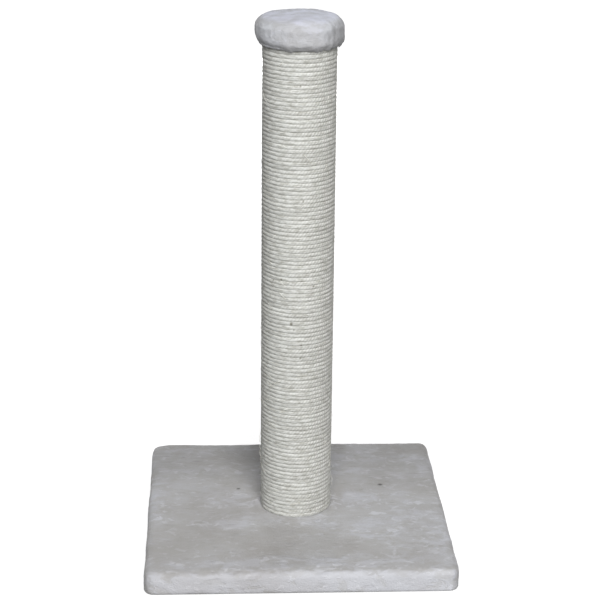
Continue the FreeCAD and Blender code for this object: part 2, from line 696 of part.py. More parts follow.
def make_cap_cover():
    """Plush over the foam: crowned, drawn in below, and gathered under the disc."""
    body = new_body("cap_cover")
    hem = "(sizes.cap_hem_hole / 2)"
    lip = f"({ROPE_OUTSIDE} + sizes.soft_gap)"
    lip_bottom = f"({POST_TOP} - sizes.cap_lip_drop)"
    shoulder = f"({CAP_RADIUS} - sizes.cap_shoulder_inset)"
    crown = f"({CAP_RADIUS} - sizes.cap_crown_inset)"
    edge = f"({DISC_RADIUS} - sizes.foam_rounding)"
    wall = f"({DISC_RADIUS} + sizes.soft_gap)"
    add_turned(body, "cap_cover_outline", [
        (lip, lip_bottom),
        (f"({lip} + sizes.cap_lip_width)", lip_bottom, 1, "sizes.cap_under_radius"),
        (CAP_RADIUS, f"({POST_TOP} + sizes.cap_belly_low)"),
        (CAP_RADIUS, f"({POST_TOP} + sizes.cap_belly_high)", 1, "sizes.cap_side_radius"),
        (shoulder, f"({CAP_TOP} - sizes.cap_shoulder_drop)", 1, "sizes.cap_shoulder_radius"),
        (crown, f"({CAP_TOP} - sizes.cap_crown_rise)", 1, crown_radius(crown, "sizes.cap_crown_rise")),
        ("0", CAP_TOP),
        ("0", f"({FOAM_TOP} + sizes.soft_gap)", -1, crown_radius(edge, "sizes.foam_crown")),
        (edge, f"({FOAM_TOP} - sizes.foam_crown + sizes.soft_gap)",
         -1, "(sizes.foam_rounding + sizes.soft_gap) * 1.001"),
        (wall, f"({FOAM_TOP} - sizes.foam_crown - sizes.foam_rounding)"),
        (wall, DISC_BOTTOM), (hem, DISC_BOTTOM), (hem, POST_TOP), (lip, POST_TOP),
    ])
    cut_staples(body, under_cap)


# ---------------------------------------------------------------- the whole post

def check_document():
    """Stop if anything in the document failed or a sub-part has no valid shape."""
    doc.recompute()
    for item in doc.Objects:
        if "Invalid" in item.State or "Error" in item.State:
            raise RuntimeError(f"{item.Label} failed: {item.State}")
    for part in sub_parts:
        if part.Shape.isNull() or not part.Shape.isValid() or not part.Shape.Solids:
            raise RuntimeError(f"{part.Label} has no valid shape")


def write_parts():
    """Write one file for each sub-part."""
    os.makedirs("parts", exist_ok=True)
    for part in sub_parts:
        part.Shape.exportStep(f"parts/{part.Label}.step")
        box = part.Shape.BoundBox
        print(f"{part.Label}: {len(part.Shape.Solids)} solids, z {box.ZMin:.2f} to {box.ZMax:.2f},"
              f" width {box.XLength:.2f}, volume {part.Shape.Volume:.0f}")


def main():
    """Build every sub-part from the base up."""
    fill_sheet()
    for side, right in (("left", -1), ("right", 1)):
        for end, back in (("front", -1), ("back", 1)):
            make_foot_pad(f"foot_pad_{end}_{side}", right, back)
    make_base_board()
    make_base_cover()
    make_staples("base_hem_staples", under_base)
    make_base_liner()
    make_washer()
    make_base_bolt()
    make_plug("bottom_plug", POST_BOTTOM, "sizes.bottom_plug_thickness", BOTTOM_PLUG_TOP, True,
              in_bottom_plug)
    make_tee_nut("bottom_tee_nut", BOTTOM_PLUG_TOP, True)
    make_staples("bottom_plug_staples", in_bottom_plug)
    make_post_tube()
    make_plug("top_plug", TOP_PLUG_BOTTOM, "sizes.top_plug_thickness", TOP_PLUG_BOTTOM, False,
              in_top_plug)
    make_tee_nut("top_tee_nut", TOP_PLUG_BOTTOM, False)
    make_staples("top_plug_staples", in_top_plug)
    make_lower_turns()
    make_upper_turns()
    make_cap_stud()
    make_cap_disc()
    make_tee_nut("cap_tee_nut", DISC_TOP, True)
    make_cap_foam()
    make_cap_cover()
    make_staples("cap_staples", under_cap)
    check_document()
    write_parts()


main()
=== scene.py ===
"""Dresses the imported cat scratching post: rope, plush covers, finishes and a plain studio."""

from math import cos, pi, radians, sin

import bmesh
import bpy
import numpy as np
from mathutils import Matrix, Vector, noise


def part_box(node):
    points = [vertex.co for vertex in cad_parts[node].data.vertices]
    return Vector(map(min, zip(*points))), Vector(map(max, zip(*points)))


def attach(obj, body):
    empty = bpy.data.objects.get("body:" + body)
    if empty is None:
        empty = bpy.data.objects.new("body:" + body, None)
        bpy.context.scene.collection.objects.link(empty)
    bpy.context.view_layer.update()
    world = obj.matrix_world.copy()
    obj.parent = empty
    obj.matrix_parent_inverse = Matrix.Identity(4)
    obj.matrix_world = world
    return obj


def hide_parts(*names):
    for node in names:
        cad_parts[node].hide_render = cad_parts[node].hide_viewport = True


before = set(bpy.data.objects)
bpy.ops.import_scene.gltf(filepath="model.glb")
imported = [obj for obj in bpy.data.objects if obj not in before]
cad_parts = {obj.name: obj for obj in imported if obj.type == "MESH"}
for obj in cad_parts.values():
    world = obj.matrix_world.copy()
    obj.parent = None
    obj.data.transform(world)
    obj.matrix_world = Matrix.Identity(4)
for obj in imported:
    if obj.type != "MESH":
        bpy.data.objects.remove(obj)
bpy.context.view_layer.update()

bl_info = {
    "name": "Cat Scratching Post",
    "version": (1, 0, 0),
    "blender": (4, 5, 0),
    "location": "View3D > Sidebar > Scratching Post",
    "description": "Winds the rope, fits the plush and finishes the parts of a scratching post",
    "category": "Object",
}

BODY = "root"

# Lengths in metres. Points nearer than a sliver are merged after a cut. Covers keep a clearance
# from what they cover. Cutters run past what they cut, or a little into the hollow they open.
SLIVER = 0.00004
CLEARANCE = 0.0003
PAST = 0.01
INTO = 0.001

ROPE_WIDTH = 0.0055
# The first piece of rope winds this many turns, and the rest is divided into the upper pieces.
LOWER_TURNS = 23.5
UPPER_PIECES = 4
# Each end runs on by this part of a turn, in the wedge beside the last level turn.
ROPE_TAIL = 0.45
LOOSE_FIBRES = 170
# Rounding of the board's corners, inside the base's cover.
BOARD_CORNER = 0.0097
# Radius of the bolt's hole in the cloth, and how much wider than the tube the cap's seat is.
BOLT_HOLE = 0.0045
SEAT_ROOM = 0.0070
# Radius of the opening that the gathered cloth leaves under the cap's disc.
GATHER_HOLE = 0.022
# Frames in which the cap's cover is filled.
SWELL_FRAMES = 20

# The base's palest pile, also used as painted sheen on its front, and the cap's lying, raised and
# palest pile, the palest also painted sheen on its crown.
BASE_PALE_AND_SHEEN = "#CFD0D5"
CAP_PLUSH, CAP_RAISED, CAP_PALE_AND_SHEEN = "#B8B9BC", "#C5C7CC", "#DADDEB"

FLOOR_SIZE, FLOOR_DROP = 30, 0.0004
# A soft box a little right of the camera and above it, and a weak low one behind the post: name,
# place and size in metres, and watts.
LAMPS = (
    ("soft_box", (0.34, -5.4, 4.5), 3.3, 548),
    ("soft_box_behind", (-0.1, 3.0, 0.16), 0.6, 56),
)
LAMP_AIM = (0, 0, 0.3)
# The photograph's viewpoint, fitted to the base's corners and the post's edges: metres, degrees
# and millimetres.
CAMERA_PLACE = (-0.11163, -2.32588, 1.15124)
CAMERA_PITCH, CAMERA_YAW, CAMERA_ROLL = 19.545, 2.849, 0.586
CAMERA_LENS, CAMERA_SENSOR = 113.03, 36


# ---------------- colours, nodes and meshes


def linear(hex_colour):
    """An sRGB hex colour as linear red, green, blue and alpha."""
    parts = [int(hex_colour[i : i + 2], 16) / 255 for i in (1, 3, 5)]
    return [c / 12.92 if c <= 0.04045 else ((c + 0.055) / 1.055) ** 2.4 for c in parts] + [1.0]


def add_node(tree, kind, inputs=(), stops=(), **settings):
    """Adds a node with its settings, its sockets' values or links, and a colour ramp's stops."""
    node = tree.nodes.new(kind)
    for name, value in settings.items():
        setattr(node, name, value)
    for key, value in dict(inputs).items():
        if isinstance(value, bpy.types.NodeSocket):
            tree.links.new(value, node.inputs[key])
        else:
            node.inputs[key].default_value = value
    if stops:
        ramp = node.color_ramp.elements
        ramp.remove(ramp[1])
        for place, (at, value) in enumerate(stops):
            stop = ramp[0] if place == 0 else ramp.new(at)
            stop.position = at
            stop.color = linear(value) if isinstance(value, str) else (value, value, value, 1)
    return node


def cleared_tree(owner):
    """The node tree of a material or a world, with nothing in it."""
    owner.use_nodes = True
    owner.node_tree.nodes.clear()
    return owner.node_tree


def new_material(name):
    """A material with an output and a surface shader, and nothing else."""
    material = bpy.data.materials.new(name)
    tree = cleared_tree(material)
    shader = add_node(tree, "ShaderNodeBsdfPrincipled")
    add_node(tree, "ShaderNodeOutputMaterial", {"Surface": shader.outputs[0]})
    return material, tree, shader


def finish_shader(tree, shader, colour, bump=None, **sockets):
    """Links the colour and the bump, and sets plain values on the shader's own sockets."""
    if isinstance(colour, str):
        shader.inputs["Base Color"].default_value = linear(colour)
    else:
        tree.links.new(colour, shader.inputs["Base Color"])
    if bump:
        tree.links.new(bump, shader.inputs["Normal"])
    for name, value in sockets.items():
        shader.inputs[name.replace("_", " ")].default_value = value


def deselect_all():
    """Leaves edit mode and deselects every object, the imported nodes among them."""
    if bpy.context.object and bpy.context.object.mode != "OBJECT":
        bpy.ops.object.mode_set(mode="OBJECT")
    bpy.ops.object.select_all(action="DESELECT")


def make_active(piece):
    """Selects the piece alone and makes it the active one."""
    deselect_all()
    piece.select_set(True)
    bpy.context.view_layer.objects.active = piece


def named_piece(name):
    """The newest primitive, named, with its place and size put into its mesh."""
    piece = bpy.context.object
    piece.name = name
    piece.data.name = name
    bpy.ops.object.transform_apply(location=True, rotation=True, scale=True)
    return piece


def box_piece(name, low, high):
    """A box primitive between two corners."""
    deselect_all()
    low, high = Vector(low), Vector(high)
    bpy.ops.mesh.primitive_cube_add(size=1, location=(low + high) / 2, scale=high - low)
    return named_piece(name)


def drum_piece(name, radius, bottom, top, sides=96):
    """A cylinder primitive on the post's axis."""
    deselect_all()
    bpy.ops.mesh.primitive_cylinder_add(
        vertices=sides, radius=radius, depth=top - bottom, location=(0, 0, (bottom + top) / 2)
    )
    return named_piece(name)


def bevel_edges(piece, chosen, width, segments):
    """Bevels, in edit mode, the edges whose two ends `chosen` accepts."""
    make_active(piece)
    bpy.ops.object.mode_set(mode="EDIT")
    bpy.ops.mesh.select_mode(type="EDGE")
    bpy.ops.mesh.select_all(action="DESELECT")
    bpy.ops.object.mode_set(mode="OBJECT")
    points = piece.data.vertices
    for edge in piece.data.edges:
        edge.select = chosen(*(points[i].co for i in edge.vertices))
    bpy.ops.object.mode_set(mode="EDIT")
    bpy.ops.mesh.bevel(offset=width, segments=segments, affect="EDGES", clamp_overlap=True)
    bpy.ops.object.mode_set(mode="OBJECT")


def level(height):
    """Accepts edges that lie at one height."""
    return lambda a, b: abs(a.z - height) < 1e-5 and abs(b.z - height) < 1e-5


def upright(a, b):
    """Accepts upright edges."""
    return (a - b).xy.length < 1e-5


def add_modifier(piece, kind, **settings):
    """Adds a modifier with its settings and applies it."""
    make_active(piece)
    modifier = piece.modifiers.new(kind.title(), kind)
    for name, value in settings.items():
        setattr(modifier, name, value)
    bpy.ops.object.modifier_apply(modifier=modifier.name)


def cut(piece, cutter):
    """Takes the cutter's shape out of the piece, removes the cutter and closes up its slivers."""
    add_modifier(piece, "BOOLEAN", operation="DIFFERENCE", solver="EXACT", object=cutter)
    bpy.data.objects.remove(cutter)
    bpy.ops.object.mode_set(mode="EDIT")
    bpy.ops.mesh.select_all(action="SELECT")
    bpy.ops.mesh.remove_doubles(threshold=SLIVER)
    bpy.ops.mesh.dissolve_degenerate(threshold=SLIVER)
    bpy.ops.object.mode_set(mode="OBJECT")


def rows_of(piece, kind="co"):
    """A mesh's points, or their normals, as an array of rows x, y, z."""
    flat = np.empty(len(piece.data.vertices) * 3)
    piece.data.vertices.foreach_get(kind, flat)
    return flat.reshape(-1, 3)


def move_points(piece, places):
    """Moves a mesh's points to new places."""
    piece.data.vertices.foreach_set("co", places.ravel())
    piece.data.update()


def store(piece, name, values, kind="FLOAT", key="value"):
    """Stores one value or vector for each point, for the piece's material to read."""
    layer = piece.data.attributes.new(name, kind, "POINT")
    layer.data.foreach_set(key, np.asarray(values, dtype=np.float32).ravel())


def smooth_step(low, high, value):
    """0 below low, 1 above high, and a smooth rise between them."""
    t = np.clip((np.asarray(value, dtype=float) - low) / (high - low), 0, 1)
    return t * t * (3 - 2 * t)


def noise_at(places, cell, seed, octaves=1):
    """Smooth noise from about -1 to 1 at each place, with cells of the size `cell`."""
    steps = np.asarray(places) / np.asarray(cell) + seed * 17.31
    if octaves == 1:
        return np.array([noise.noise(row) for row in steps])
    return np.array([noise.fractal(row, 1.0, 2.0, octaves) for row in steps])


def shade_smooth(piece, degrees):
    """Smooths the shading where faces meet at less than this angle."""
    make_active(piece)
    bpy.ops.object.shade_smooth_by_angle(angle=radians(degrees))


def dress(piece, material, slot, *nodes):
    """Gives a new piece its material and body, and hides the nodes that it stands for. The slot is
    not used.
    """
    piece.data.materials.clear()
    piece.data.materials.append(material)
    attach(piece, BODY)
    if nodes:
        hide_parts(*nodes)


# ---------------- sizes and colours to change


def length_setting(name, text, metres):
    """A length that can be changed in the panel."""
    return bpy.props.FloatProperty(name=name, description=text, default=metres, unit="LENGTH")


def colour_setting(name, text, hex_colour):
    """A colour, scene linear, that can be changed in the panel."""
    return bpy.props.FloatVectorProperty(
        name=name,
        description=text,
        default=linear(hex_colour)[:3],
        subtype="COLOR",
        size=3,
    )


class PostSizes(bpy.types.PropertyGroup):
    """Sizes of the pieces that are modelled here."""

    rope_width: length_setting(
        "Rope width", "Width of the sisal rope over its three strands", ROPE_WIDTH
    )
    rope_lay: length_setting("Rope lay", "Length of rope in which a strand goes once round", 0.013)
    rope_turns: bpy.props.FloatProperty(
        name="Rope turns",
        description="Turns of rope round the post, the last a half turn",
        default=115.5,
    )
    pile_grain: length_setting(
        "Plush grain", "Spacing of the mesh points that carry the plush's lumps", 0.0022
    )
    base_rounding: length_setting(
        "Base rounding", "Rounding where the plush turns over the base's top edge", 0.0105
    )
    cap_swell: length_setting(
        "Cap swell", "How far the cap's cover may swell from its cut shape", 0.004
    )


class PostColours(bpy.types.PropertyGroup):
    """Colours of the visible cloth and rope."""

    plush: colour_setting("Plush", "Plush with its pile lying away", "#B5B4B3")
    plush_raised: colour_setting(
        "Raised plush", "Plush with its pile standing towards the eye", "#C5C6CB"
    )
    sisal: colour_setting("Sisal", "Bleached sisal on the outside of a strand", "#DCDDD9")
    # The groove colour is painted shade, darkening the grooves between the strands.
    sisal_groove_shade: colour_setting("Sisal groove", "Sisal between the strands", "#B4B2AC")


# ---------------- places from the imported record

base_low, base_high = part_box("base_cover")
board_low, board_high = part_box("base_board")
_, liner_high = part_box("base_liner")
tube_low, tube_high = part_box("post_tube")
turns_low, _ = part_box("sisal_rope_lower_turns")
_, sleeve_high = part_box("sisal_rope_upper_turns")
disc_low, disc_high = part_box("cap_disc")
_, foam_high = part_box("cap_foam")
cap_low, cap_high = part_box("cap_cover")

TUBE_RADIUS = tube_high.x
ROPE_BOTTOM = turns_low.z
ROPE_TOP = sleeve_high.z


# ---------------- materials


def object_coordinates(tree):
    """The places on the object, in the part's own frame."""
    return add_node(tree, "ShaderNodeTexCoord").outputs["Object"]


def noise_over(tree, places, stretch=(1, 1, 1), **settings):
    """Noise over the places, with its cells drawn out along an axis whose stretch is below 1."""
    places = add_node(tree, "ShaderNodeMapping", {"Vector": places, "Scale": stretch}).outputs[0]
    return add_node(tree, "ShaderNodeTexNoise", {"Vector": places, **settings}).outputs["Fac"]


def layered(tree, value, *layers):
    """The value with a share of each layer added: each layer is a value and its share."""
    for layer, share in layers:
        value = add_node(
            tree, "ShaderNodeMath", {0: layer, 1: share, 2: value}, operation="MULTIPLY_ADD"
        ).outputs[0]
    return value


def shaded_by(tree, colour, value, *stops):
    """The colour, darkened by a ramp over a value such as dust, wear or a seam."""
    shade = add_node(tree, "ShaderNodeValToRGB", {"Fac": value}, stops=stops).outputs[0]
    multiply = {"data_type": "RGBA", "blend_type": "MULTIPLY"}
    return add_node(tree, "ShaderNodeMix", {0: 1.0, 6: colour, 7: shade}, **multiply).outputs[2]


def plush_material(name, colours, pale_and_sheen, dabbed):
    """Short-pile polyester plush, knitted and brushed: no gloss, a soft pale bloom at grazing
    angles, and paler patches where the 3 mm pile stands up among the pile that lies down."""
    material, tree, shader = new_material(name)
    flat, raised = (tuple(c) + (1,) for c in colours)
    places = object_coordinates(tree)
    nap_and_painted_light, tufts_and_painted_sheen, flecks_and_painted_shade = (
        add_node(tree, "ShaderNodeAttribute", attribute_name=stored).outputs["Fac"]
        for stored in ("nap_and_painted_light", "tufts_and_painted_sheen", "flecks_and_painted_shade")
    )

    def patches(size, stretch, low, high, bend):
        """Patches of about `size`, longer along x, whose edges fade between `low` and `high`."""
        grid = {"Scale": 1 / size, "Detail": 3, "Roughness": 0.55, "Distortion": bend}
        patch = noise_over(tree, places, (stretch, 1, 1), **grid)
        return add_node(
            tree, "ShaderNodeValToRGB", {"Fac": patch}, stops=((low, 0.0), (high, 1.0))
        ).outputs[0]

    # Where the pile was brushed up it leans most, in patches 34 mm by 42 mm and in strokes
    # 14 mm by 22 mm.
    broad = patches(0.034, 0.8, 0.42, 0.60, 0.9)
    strokes = patches(0.014, 0.65, 0.49, 0.565, 0.8)
    lean = layered(tree, 0.15, (broad, 0.8), (strokes, 0.7))
    lean = add_node(tree, "ShaderNodeMath", {0: lean, 1: nap_and_painted_light}, operation="MULTIPLY").outputs[0]
    # Tufts 1.7 mm by 2.8 mm, 600 in a metre, and streaks 11 mm by 26 mm show everywhere.
    tufts = noise_over(tree, places, (0.6, 1, 1), Scale=600, Detail=2)
    streaks = patches(0.011, 0.42, 0.44, 0.64, 0.8)
    lean = layered(tree, lean, (tufts, 0.30), (streaks, 0.2))
    lean = add_node(
        tree, "ShaderNodeValToRGB", {"Fac": lean}, stops=((0.16, 0.0), (1.25, 1.0))
    ).outputs[0]
    cloth = add_node(
        tree, "ShaderNodeMix", {0: lean, 6: flat, 7: raised}, data_type="RGBA"
    ).outputs[2]
    # Dabs of standing tufts, in cells 10 mm by 14 mm, are palest, and so are the tufts on the
    # base's front turn and the painted sheen on the base's front and the cap's crown.
    much = layered(tree, 0.4 * dabbed, (nap_and_painted_light, dabbed))
    dabs = patches(0.010, 0.7, 0.57, 0.66, 0.5)
    for kind, other in (("MULTIPLY", much), ("MAXIMUM", tufts_and_painted_sheen)):
        dabs = add_node(tree, "ShaderNodeMath", {0: dabs, 1: other}, operation=kind).outputs[0]
    cloth = add_node(
        tree, "ShaderNodeMix", {0: dabs, 6: cloth, 7: linear(pale_and_sheen)}, data_type="RGBA"
    ).outputs[2]
    # The cloth's shade drifts a little over 80 mm.
    drift = noise_over(tree, places, Scale=12, Detail=2)
    cloth = shaded_by(tree, cloth, drift, (0.35, "#F0EEEC"), (0.62, "#FFFFFF"))
    # Combing leaves thin shaded lines 4 mm wide and 20 mm long.
    lines = patches(0.0040, 0.20, 0.60, 0.72, 0.3)
    cloth = shaded_by(tree, cloth, lines, (0.0, "#FFFFFF"), (1.0, "#EDECEC"))
    # Flecks of fluff caught in the pile are darker, and painted shade darkens the base's back, the
    # turn over its front edge and the cap's right side.
    cloth = shaded_by(tree, cloth, flecks_and_painted_shade, (0.0, "#FFFFFF"), (1.0, "#787676"))
    height = layered(tree, tufts, (dabs, 0.4), (lean, 0.6))
    bump = add_node(
        tree, "ShaderNodeBump", {"Height": height, "Strength": 0.55, "Distance": 0.0011}
    ).outputs[0]
    soft = {"Specular_IOR_Level": 0.15, "Sheen_Weight": 0.2, "Sheen_Roughness": 0.45}
    finish_shader(tree, shader, cloth, bump, Roughness=0.95, **soft)
    return material


def sisal_material(colours):
    """Three-strand rope laid from bleached sisal: matt, hard fibres that run nearly along the
    rope, paler on top, with painted shade darkening the grooves."""
    material, tree, shader = new_material("laid_bleached_sisal")
    strand, groove_shade_colour = (tuple(c) + (1,) for c in colours)
    laid = add_node(tree, "ShaderNodeAttribute", attribute_name="laid").outputs["Vector"]
    painted_groove_shade, husk = (
        add_node(tree, "ShaderNodeAttribute", attribute_name=stored).outputs["Fac"]
        for stored in ("painted_groove_shade", "husk")
    )
    # Fibres 0.2 mm thick are drawn 0.7 mm wide, so that they show, and 12 mm long.
    fibres = noise_over(tree, laid, (0.06, 1, 1), Scale=1400, Detail=3, Roughness=0.6)
    straw = (0.3, "#B4B1A5"), (0.44, "#FFFFFF"), (0.62, "#FFFFFF"), (0.74, "#E3E0D2")
    cloth = shaded_by(tree, strand, fibres, *straw)
    # The yarn changes shade every 60 mm or so.
    shades = noise_over(tree, laid, (0.12, 1, 1), Scale=140, Detail=2)
    cloth = shaded_by(tree, cloth, shades, (0.3, 0.83), (0.62, 1.0))
    # Painted shade darkens the grooves between the strands.
    cloth = add_node(
        tree, "ShaderNodeMix", {0: painted_groove_shade, 6: cloth, 7: groove_shade_colour}, data_type="RGBA"
    ).outputs[2]
    # Bundles of fibre 2.4 mm by 8 mm are cleaner or dustier than those beside them.
    bundles = noise_over(tree, laid, (0.3, 1, 1), Scale=420, Detail=2)
    cloth = shaded_by(tree, cloth, bundles, (0.36, "#DEDDDA"), (0.56, "#FFFFFF"))
    # Bits of brown husk are left between the fibres here and there.
    cloth = shaded_by(tree, cloth, husk, (0.0, "#FFFFFF"), (1.0, "#9A958A"))
    bump = add_node(
        tree, "ShaderNodeBump", {"Height": fibres, "Strength": 0.7, "Distance": 0.0005}
    ).outputs[0]
    finish_shader(tree, shader, cloth, bump, Roughness=0.8, Specular_IOR_Level=0.25)
    return material


def mottled_material(name, shades, grain, bump, roughness, metallic=0.0, stretch=(1, 1, 1)):
    """A finish of three shades in grains of one size, with the same grains as bump."""
    material, tree, shader = new_material(name)
    grains = noise_over(tree, object_coordinates(tree), stretch, Scale=1 / grain, Detail=4)
    colour = add_node(
        tree, "ShaderNodeValToRGB", {"Fac": grains}, stops=tuple(zip((0.32, 0.5, 0.68), shades))
    ).outputs[0]
    relief = add_node(
        tree, "ShaderNodeBump", {"Height": grains, "Strength": 0.5, "Distance": bump}
    ).outputs[0]
    finish_shader(tree, shader, colour, relief, Roughness=roughness, Metallic=metallic)
    return material


# ---------------- stage


class POST_OT_stage(bpy.types.Operator):
    """Lays a plain pale floor, sets up two soft lamps and the camera"""

    bl_idname = "scratching_post.stage"
    bl_label = "Stage"

    def execute(self, context):
        scene = context.scene
        scene.view_settings.view_transform = "Standard"
        deselect_all()
        bpy.ops.mesh.primitive_plane_add(size=FLOOR_SIZE, location=(0, 0, -FLOOR_DROP))
        floor = named_piece("studio_floor")
        floor.data.materials.append(self.paper())
        self.sky(scene)
        for lamp in LAMPS:
            self.soft_box(scene, *lamp)
        self.camera(scene)
        return {"FINISHED"}

    def soft_box(self, scene, name, place, size, watts):
        """A square area lamp that faces the lower half of the post."""
        lamp = bpy.data.lights.new(name, "AREA")
        lamp.size = size
        lamp.energy = watts
        holder = bpy.data.objects.new(name, lamp)
        scene.collection.objects.link(holder)
        holder.location = place
        aim = Vector(LAMP_AIM) - holder.location
        holder.rotation_euler = aim.to_track_quat("-Z", "Y").to_euler()

    def paper(self):
        """White seamless paper, matt: white behind the object, and it keeps its soft shadow."""
        material = bpy.data.materials.new("white_seamless_paper")
        tree = cleared_tree(material)
        paper = add_node(tree, "ShaderNodeBsdfDiffuse", {"Color": linear("#A8A8A8")})
        # Its glow grows from half a metre outwards, so that the shadow near the object shows.
        distance = add_node(
            tree, "ShaderNodeVectorMath", {0: object_coordinates(tree)}, operation="LENGTH"
        ).outputs[1]
        strength = add_node(
            tree, "ShaderNodeMapRange", {"Value": distance, 1: 0.5, 2: 1.6, 3: 0.84, 4: 1.0}
        ).outputs[0]
        glow = self.seen_directly(tree, strength)
        glow = add_node(tree, "ShaderNodeEmission", {"Strength": glow})
        both = add_node(tree, "ShaderNodeAddShader", {0: paper.outputs[0], 1: glow.outputs[0]})
        add_node(tree, "ShaderNodeOutputMaterial", {"Surface": both.outputs[0]})
        return material

    def seen_directly(self, tree, strength):
        """The strength for rays from the eye, a reflection or a clear part, and 0 for others."""
        path = add_node(tree, "ShaderNodeLightPath").outputs
        seen = path["Is Camera Ray"]
        for kind, other in (
            ("MAXIMUM", path["Is Glossy Ray"]),
            ("MAXIMUM", path["Is Transmission Ray"]),
            ("MULTIPLY", strength),
        ):
            seen = add_node(tree, "ShaderNodeMath", {0: seen, 1: other}, operation=kind).outputs[0]
        return seen

    def sky(self, scene):
        """White where it is seen, and a soft grey light on the object."""
        scene.world = scene.world or bpy.data.worlds.new("studio")
        tree = cleared_tree(scene.world)
        seen = self.seen_directly(tree, 1.0)
        light = add_node(
            tree, "ShaderNodeBackground", {"Color": (0.98, 0.99, 1, 1), "Strength": 0.06}
        )
        white = add_node(tree, "ShaderNodeBackground", {"Color": (1, 1, 1, 1), "Strength": 1.0})
        both = add_node(
            tree, "ShaderNodeMixShader", {0: seen, 1: light.outputs[0], 2: white.outputs[0]}
        )
        add_node(tree, "ShaderNodeOutputWorld", {"Surface": both.outputs[0]})

    def camera(self, scene):
        """The photograph's viewpoint."""
        data = bpy.data.cameras.new("studio_camera")
        data.sensor_width = CAMERA_SENSOR
        data.lens = CAMERA_LENS
        camera = bpy.data.objects.new("studio_camera", data)
        scene.collection.objects.link(camera)
        turn = (
            Matrix.Rotation(-radians(CAMERA_YAW), 4, "Z")
            @ Matrix.Rotation(pi / 2 - radians(CAMERA_PITCH), 4, "X")
            @ Matrix.Rotation(radians(CAMERA_ROLL), 4, "Z")
        )
        camera.matrix_world = Matrix.Translation(CAMERA_PLACE) @ turn
        scene.camera = camera


# ---------------- rope


# Bits of husk in the rope: degrees round the post from its right, height and size, in metres.
HUSKS = (
    (85, 0.473, 0.0015),
    (119, 0.367, 0.0019),
    (134, 0.364, 0.0015),
    (67, 0.358, 0.0015),
    (102, 0.308, 0.0028),
    (98, 0.300, 0.0017),
    (86, 0.279, 0.0017),
    (87, 0.261, 0.0016),
    (91, 0.621, 0.0015),
    (67, 0.041, 0.0020),
)


def husk_at(places):
    """How brown the rope is at each place, from 0 to 1, with as much husk round the back."""
    dice = np.random.default_rng(31)
    hidden = [
        (dice.uniform(190, 350), dice.uniform(0.05, 0.64), dice.uniform(0.0014, 0.0022))
        for _ in range(12)
    ]
    reach = TUBE_RADIUS + 0.005
    brown = np.zeros(len(places))
    for degrees, height, size in (*HUSKS, *hidden):
        turn = radians(degrees)
        middle = (reach * cos(turn), -reach * sin(turn), height)
        far = np.linalg.norm(places - middle, axis=1)
        brown = np.maximum(brown, smooth_step(size, size * 0.4, far))
    return brown


def rope_line(angle, sizes):
    """The rope's centre line and how much of its height is left: level round the front, and up by
    one turn round the back. Both ends taper off in the wedge beside the last level turn."""
    width = sizes.rope_width
    low, high = ROPE_BOTTOM + width / 2, ROPE_TOP - width / 2
    pitch = (high - low) / (sizes.rope_turns - 0.5)
    turn = np.floor(angle / (2 * pi))
    back = smooth_step(0.5, 1.0, angle / (2 * pi) - turn)
    height = low + pitch * (turn + back)
    radius = TUBE_RADIUS + width / 2
    # Hand winding leaves small wanders in height and in how hard the rope is pulled in.
    rows = np.stack([np.cos(angle) * 2.2, np.sin(angle) * 2.2, height / pitch * 0.45], axis=1)
    height = height + 0.00030 * noise_at(rows, 1.0, 3)
    radius = radius + 0.00030 * noise_at(rows * 1.7, 1.0, 5)
    bottom = np.maximum(height - width / 2, ROPE_BOTTOM)
    top = np.minimum(height + width / 2, ROPE_TOP)
    left = np.maximum(top - bottom, 0.0001) / width
    middle = np.where(left < 0.9, (bottom + top) / 2, height)
    line = np.stack([radius * np.cos(angle), -radius * np.sin(angle), middle], axis=1)
    return line, np.where(left < 0.9, left, 1.0)


